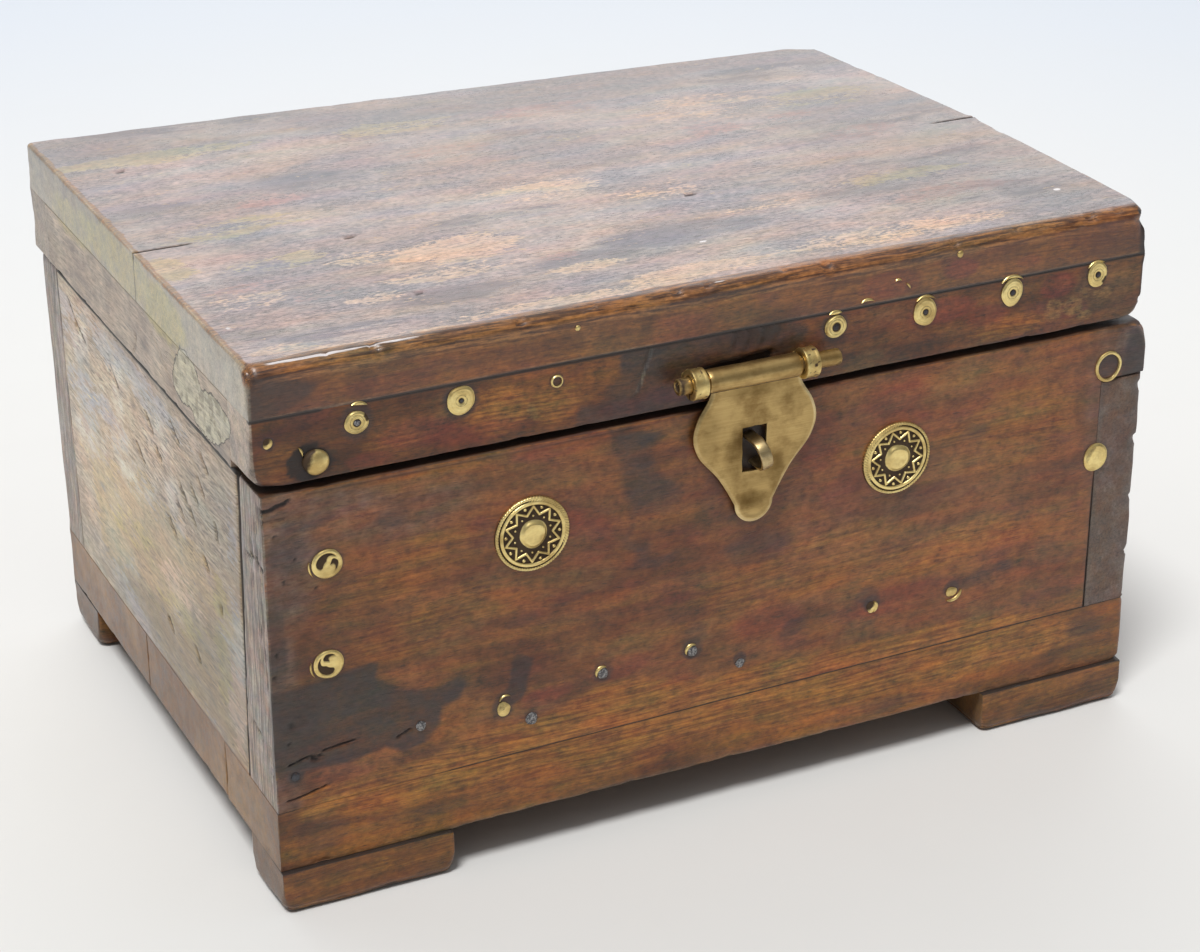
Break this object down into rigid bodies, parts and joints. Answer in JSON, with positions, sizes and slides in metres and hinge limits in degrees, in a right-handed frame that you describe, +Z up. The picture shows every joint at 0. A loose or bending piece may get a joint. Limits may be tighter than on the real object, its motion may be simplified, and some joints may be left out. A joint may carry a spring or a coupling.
{
  "type": "chest",
  "caption": "Small old wooden chest on block feet, with a framed lid hinged at the back, a brass hasp over a staple, roundels and nail heads.",
  "frame": {"origin": "on the surface the chest stands on, under the middle of the whole object's box, closed", "axes": "+X to the right along the front, +Y from the front to the back, +Z up"},
  "size_m": [0.3342, 0.2582, 0.196],
  "materials": {
    "body_wood": "old oiled hardwood, reddish brown, worn orange at the arrises, with dark stains",
    "base_wood": "old oiled hardwood, worn orange brown",
    "lid_wood": "old waxed hardwood, mottled mauve brown, worn glossy",
    "brass": "dull aged brass, brushed, dark in the recesses",
    "iron": "dull grey worn iron"
  },
  "bodies": {
    "body": {"front_board": "body_wood", "back_board": "body_wood", "left_side_board": "body_wood", "right_side_board": "body_wood", "base_front_plank": "base_wood", "base_middle_plank": "base_wood", "base_back_plank": "base_wood", "foot_front_left": "base_wood", "foot_front_right": "base_wood", "foot_back_left": "base_wood", "foot_back_right": "base_wood", "lock_staple": "brass", "left_roundel": "brass", "right_roundel": "brass", "roundel_tacks": "brass", "front_swirl_nails": "brass", "front_ring": "brass", "front_corner_disc": "brass", "front_brass_pins": "brass", "left_hinge_body_leaf": "brass", "right_hinge_body_leaf": "brass", "left_hinge_pin": "brass", "right_hinge_pin": "brass", "hinge_body_nails": "brass", "front_iron_nails": "iron", "base_nails": "iron", "foot_nails": "iron"},
    "lid": {"lid_front_plank": "lid_wood", "lid_back_plank": "lid_wood", "lid_front_rail": "lid_wood", "lid_back_rail": "lid_wood", "lid_left_rail": "lid_wood", "lid_right_rail": "lid_wood", "lid_brass_discs": "brass", "lid_brass_pins": "brass", "lid_dome_nail": "brass", "hasp_left_eye": "brass", "hasp_right_eye": "brass", "left_hinge_lid_leaf": "brass", "right_hinge_lid_leaf": "brass", "hinge_lid_nails": "brass", "lid_disc_nails": "iron", "lid_plank_nails": "iron"},
    "hasp": {"hasp_plate": "brass", "hasp_pin": "brass"}
  },
  "joints": [
    {"name": "lid_hinge", "type": "hinge", "parent": "body", "child": "lid", "pos_m": [0, 0.1259, 0.15345], "axis": [-1, 0, 0], "range_deg": [0, 180]},
    {"name": "hasp_hinge", "type": "hinge", "parent": "lid", "child": "hasp", "pos_m": [0.0064, -0.123, 0.1646], "axis": [-1, 0, 0], "range_deg": [0, 190]}
  ]
}
